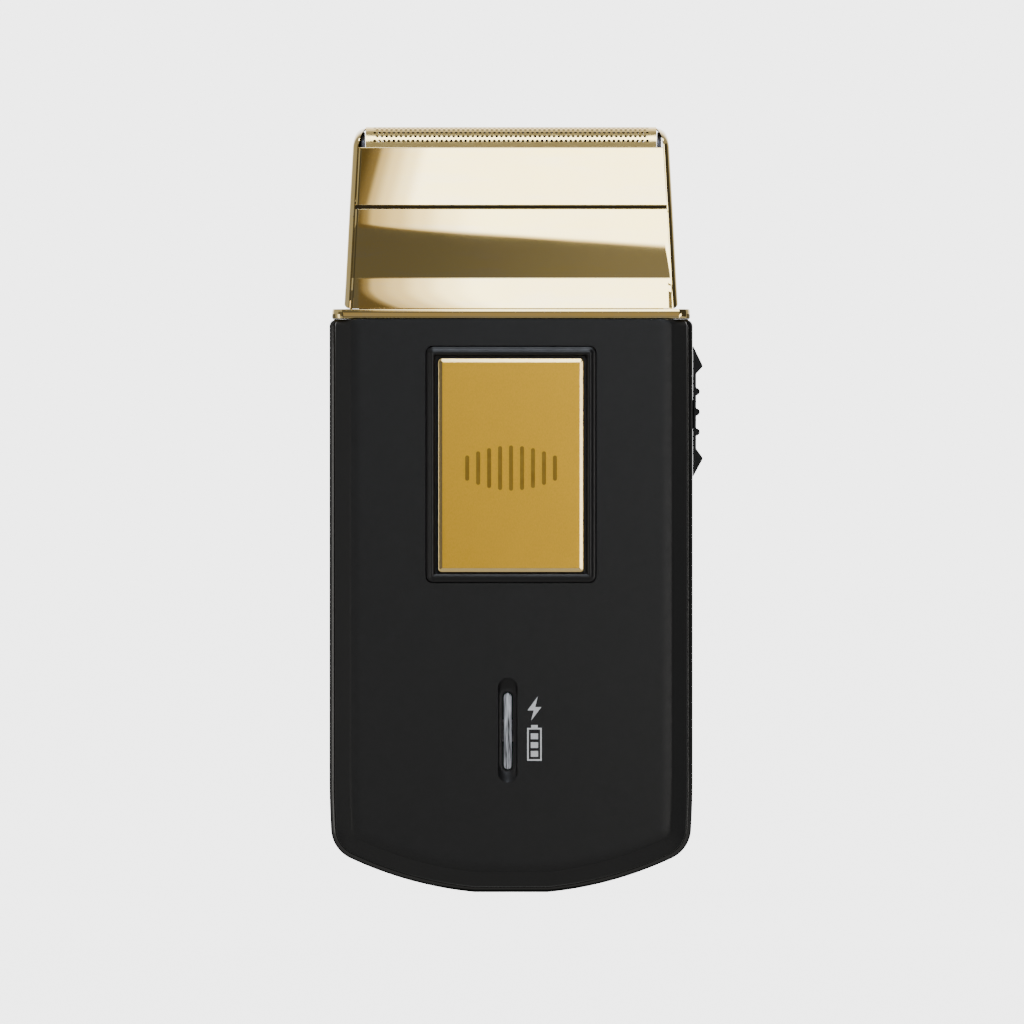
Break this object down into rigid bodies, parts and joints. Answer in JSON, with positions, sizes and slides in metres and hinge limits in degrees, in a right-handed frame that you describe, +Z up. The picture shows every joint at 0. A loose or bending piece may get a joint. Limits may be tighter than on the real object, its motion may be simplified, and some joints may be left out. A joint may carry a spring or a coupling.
{
  "type": "foil shaver",
  "caption": "Compact cordless foil shaver: black two-shell body, gold lift-off foil head with perforated arched foil, gold badge plate, side slide switch and charge light.",
  "frame": {"origin": "middle of the bounding box in X and Y, on the surface that the curved base stands on", "axes": "+Z runs up the body to the foil, -Y is the front with the badge and the charge light, +X is the side with the slide switch"},
  "size_m": [0.0512, 0.022, 0.105],
  "materials": {
    "soft_black": "soft-touch matte moulding",
    "gloss_black": "polished moulding",
    "inner_black": "plain moulding",
    "mirror_gold": "mirror gold plating",
    "satin_gold": "fine satin gold",
    "foil_gold": "thin gold-toned perforated foil",
    "steel": "bright steel",
    "dark_steel": "blackened steel",
    "copper": "bare copper",
    "bush_brass": "turned brass",
    "white_nylon": "natural nylon",
    "clear_lens": "clear polished moulding",
    "board_green": "solder mask",
    "cell_wrap": "printed-free shrink sleeve",
    "guard_rubber": "soft rubber",
    "lead_red": "wire insulation",
    "lead_black": "wire insulation",
    "magnet": "sintered ferrite"
  },
  "bodies": {
    "casing": {"rear_shell": "gloss_black", "front_cover": "soft_black", "collar_plate": "mirror_gold", "badge_bezel": "gloss_black", "badge_plate": "satin_gold", "light_pipe": "clear_lens", "case_screw_lower_left": "dark_steel", "case_screw_upper_left": "dark_steel", "case_screw_lower_right": "dark_steel", "case_screw_upper_right": "dark_steel", "latch_clip_left": "steel", "latch_clip_right": "steel", "motor_magnet_left": "magnet", "motor_magnet_right": "magnet", "motor_terminal_left": "copper", "motor_terminal_right": "copper", "top_deck": "inner_black", "yoke_retainer": "inner_black", "motor_can": "steel", "motor_end_cap": "white_nylon", "motor_bush": "bush_brass", "chassis": "inner_black", "battery_cell": "cell_wrap", "cell_tab_positive": "steel", "cell_tab_negative": "steel", "circuit_board": "board_green", "status_led": "white_nylon", "control_chip": "inner_black", "capacitor": "inner_black", "charge_socket_shell": "steel", "charge_socket_tongue": "inner_black", "slide_switch_body": "inner_black", "battery_lead": "lead_red", "motor_lead_positive": "lead_red", "motor_lead_negative": "lead_black"},
    "foil_head": {"head_frame": "mirror_gold", "foil_sheet": "foil_gold", "foil_cradle": "inner_black", "head_base_ring": "inner_black", "head_end_plate_left": "mirror_gold", "head_end_plate_right": "mirror_gold", "foil_clip_left": "steel", "foil_clip_right": "steel"},
    "switch": {"switch_button": "soft_black", "switch_carrier": "inner_black", "switch_knob": "white_nylon"},
    "rotor": {"motor_shaft": "steel", "motor_armature": "copper", "motor_commutator": "copper", "eccentric_cam": "white_nylon"},
    "yoke": {"drive_yoke": "white_nylon", "hair_guard": "guard_rubber", "cutter_spring_left": "steel", "cutter_spring_right": "steel"},
    "cutter": {"cutter_carrier": "inner_black", "cutter_block": "dark_steel"}
  },
  "joints": [
    {"name": "head_lift", "type": "slide", "parent": "casing", "child": "foil_head", "axis": [0, 0, 1], "range_m": [0, 0.03]},
    {"name": "switch_slide", "type": "slide", "parent": "casing", "child": "switch", "axis": [0, 0, 1], "range_m": [0, 0.003]},
    {"name": "motor_spin", "type": "hinge", "parent": "casing", "child": "rotor", "pos_m": [-0.00072, 0, 0.06], "axis": [0, 0, 1], "continuous": true},
    {"name": "yoke_shuttle", "type": "slide", "parent": "casing", "child": "yoke", "axis": [1, 0, 0], "range_m": [-0.0008, 0.0008]},
    {"name": "cutter_float", "type": "slide", "parent": "yoke", "child": "cutter", "axis": [0, 0, -1], "range_m": [0, 0.001], "stiffness_N_per_m": 300, "springref_m": -0.0015, "deforming": ["cutter_spring_left", "cutter_spring_right"]}
  ]
}
